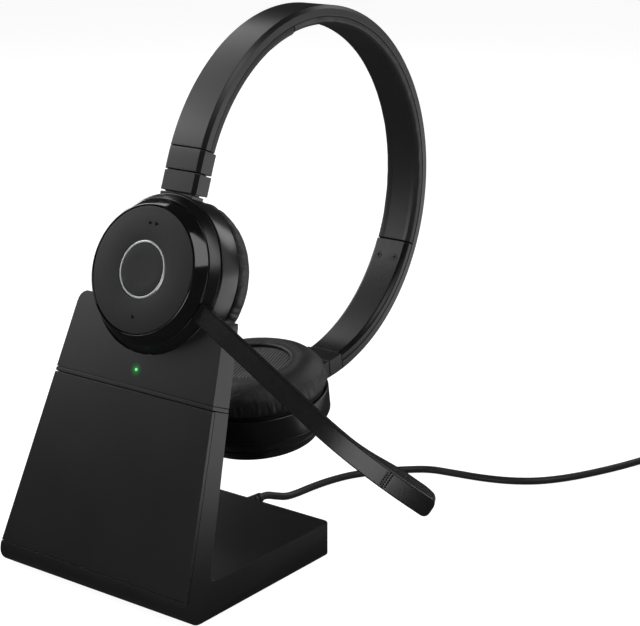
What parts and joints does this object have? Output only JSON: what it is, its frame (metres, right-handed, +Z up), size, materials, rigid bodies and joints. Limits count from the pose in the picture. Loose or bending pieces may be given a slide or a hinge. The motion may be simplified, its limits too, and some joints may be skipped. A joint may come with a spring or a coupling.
{
  "type": "office headset",
  "caption": "Wireless office headset with on-ear cups, sliding headband and a turning boom microphone, docked in a leaning charging stand with a USB cable.",
  "frame": {"origin": "centre of the stand's underside, on the surface it stands on", "axes": "+Z up, +X to the right, the stand's front faces -Y; the docked headset leans back over the foot"},
  "size_m": [0.2414, 0.3352, 0.2309],
  "materials": {
    "stand_plastic": "satin black moulding with a fine spark texture",
    "panel_gloss": "smooth black front panel",
    "base_plastic": "matt black",
    "foot_rubber": "soft black rubber",
    "ballast_steel": "zinc-plated block",
    "circuit_board": "green solder mask",
    "light_lens": "clear lens, lit green",
    "gold_contact": "gold plated",
    "screw_steel": "dark zinc",
    "cable_rubber": "satin black jacket",
    "tie_fabric": "black hook-and-loop tape",
    "plug_steel": "nickel plated",
    "cup_plastic": "satin black",
    "cup_gloss": "piano black",
    "face_matte": "matt black",
    "bright_metal": "turned bright ring",
    "battery_wrap": "blue shrink wrap",
    "baffle_plastic": "matt black",
    "driver_metal": "plain steel",
    "speaker_cloth": "ribbed black cloth on open foam",
    "ear_leather": "soft black leatherette",
    "boom_plastic": "satin black",
    "band_plastic": "satin dark grey-black",
    "pad_rubber": "soft black skin",
    "band_inner": "satin black",
    "spring_steel": "spring steel"
  },
  "bodies": {
    "stand": {"stand_shell": "stand_plastic", "front_panel": "panel_gloss", "stand_head": "stand_plastic", "trim_band": "stand_plastic", "base_plate": "base_plastic", "rubber_feet": "foot_rubber", "ballast": "ballast_steel", "charge_board": "circuit_board", "status_light": "light_lens", "base_screws": "screw_steel", "strain_relief": "cable_rubber", "cable": "cable_rubber", "cable_coil": "cable_rubber", "cable_tie": "tie_fabric", "plug_body": "cable_rubber", "plug_shell": "plug_steel"},
    "contacts": {"charge_pins": "gold_contact"},
    "near_cup": {"near_housing": "cup_plastic", "near_bevel": "cup_gloss", "switch_board": "circuit_board", "battery": "battery_wrap", "charge_pads": "gold_contact", "near_baffle": "baffle_plastic", "near_driver": "driver_metal", "near_cloth": "speaker_cloth", "near_cushion": "ear_leather", "near_neck": "cup_plastic"},
    "rocker": {"rocker_plate": "face_matte", "bright_ring": "bright_metal"},
    "button": {"call_button": "face_matte"},
    "boom": {"boom_ring": "cup_plastic", "boom_arm": "boom_plastic", "boom_cover": "boom_plastic", "boom_mic": "gold_contact"},
    "near_arm": {"near_slider": "band_plastic", "near_strip": "spring_steel", "near_pin": "screw_steel"},
    "headband": {"band_shell": "band_plastic", "band_pad": "pad_rubber", "band_spring": "spring_steel", "near_end_cover": "band_inner", "far_end_cover": "band_inner", "band_screws": "screw_steel", "near_collar": "band_plastic", "far_collar": "band_plastic"},
    "far_arm": {"far_slider": "band_plastic", "far_strip": "spring_steel", "far_pin": "screw_steel"},
    "far_cup": {"far_housing": "cup_plastic", "far_bevel": "cup_gloss", "far_ring": "cup_plastic", "far_cap": "face_matte", "far_baffle": "baffle_plastic", "far_driver": "driver_metal", "far_cloth": "speaker_cloth", "far_cushion": "ear_leather", "far_neck": "cup_plastic"}
  },
  "joints": [
    {"name": "lift_off", "type": "slide", "parent": "stand", "child": "near_cup", "axis": [0, 0.3502, 0.9367], "range_m": [0, 0.12]},
    {"name": "contact_travel", "type": "slide", "parent": "stand", "child": "contacts", "axis": [0, -0.3502, -0.9367], "range_m": [0, 0.0005], "stiffness_N_per_m": 300},
    {"name": "boom_turn", "type": "hinge", "parent": "near_cup", "child": "boom", "pos_m": [0, -0.00133, 0.12981], "axis": [0, -0.9367, 0.3502], "range_deg": [-15, 229.4]},
    {"name": "rocker_tilt", "type": "hinge", "parent": "near_cup", "child": "rocker", "pos_m": [0, -0.00695, 0.13191], "axis": [1, 0, 0], "range_deg": [-1.5, 1.5], "stiffness_Nm_per_rad": 0.6},
    {"name": "button_press", "type": "slide", "parent": "near_cup", "child": "button", "axis": [0, 0.9367, -0.3502], "range_m": [0, 0.0006], "stiffness_N_per_m": 600},
    {"name": "near_tilt", "type": "hinge", "parent": "near_cup", "child": "near_arm", "pos_m": [0, 0.01806, 0.16398], "axis": [1, 0, 0], "range_deg": [-9, 9]},
    {"name": "near_extend", "type": "slide", "parent": "near_arm", "child": "headband", "axis": [0, 0.3502, 0.9367], "range_m": [0, 0.014]},
    {"name": "far_extend", "type": "slide", "parent": "headband", "child": "far_arm", "axis": [0, -0.9895, -0.1444], "range_m": [0, 0.014]},
    {"name": "far_tilt", "type": "hinge", "parent": "far_arm", "child": "far_cup", "pos_m": [0, 0.1015, 0.06057], "axis": [1, 0, 0], "range_deg": [-9, 9]}
  ]
}
